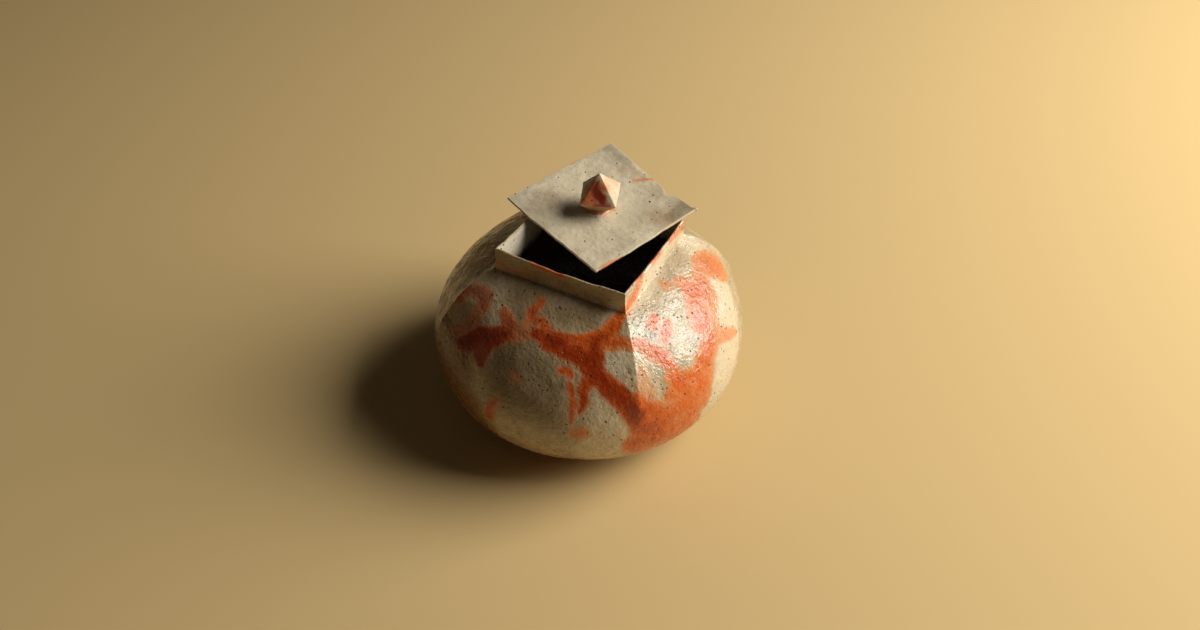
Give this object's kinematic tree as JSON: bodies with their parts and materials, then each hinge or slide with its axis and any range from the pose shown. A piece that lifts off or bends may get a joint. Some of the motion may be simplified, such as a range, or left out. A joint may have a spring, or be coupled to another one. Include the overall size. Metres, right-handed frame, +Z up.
{
  "type": "fresh water jar",
  "caption": "Low round stoneware water jar drawn up by ridges to a square collared mouth, with a thin square lid and a faceted knob lying askew on the rim.",
  "frame": {"origin": "on the standing surface, under the middle of the round belly", "axes": "+Z up; X and Y along the sides of the square mouth, -Y towards the side the lid leaves open"},
  "size_m": [0.193, 0.193, 0.1498],
  "materials": {
    "ash_glaze": "glossy cream ash glaze over stoneware, with orange fire marks, dark iron specks and pinholes",
    "bare_clay": "unglazed fired stoneware, matt and slightly gritty",
    "lid_glaze": "thin satin cream to grey glaze with orange scorched edges and pits",
    "knob_glaze": "thin cream glaze broken to rust red on the facets that faced the fire"
  },
  "bodies": {
    "jar": {"foot_ring": "bare_clay", "jar_body": "ash_glaze", "mouth_collar": "ash_glaze"},
    "lid": {"lid_plate": "lid_glaze", "knob_stem": "lid_glaze", "knob": "knob_glaze"}
  },
  "joints": [
    {"name": "lid_lift", "type": "slide", "parent": "jar", "child": "lid", "axis": [0, 0, 1], "range_m": [0, 0.1]}
  ]
}
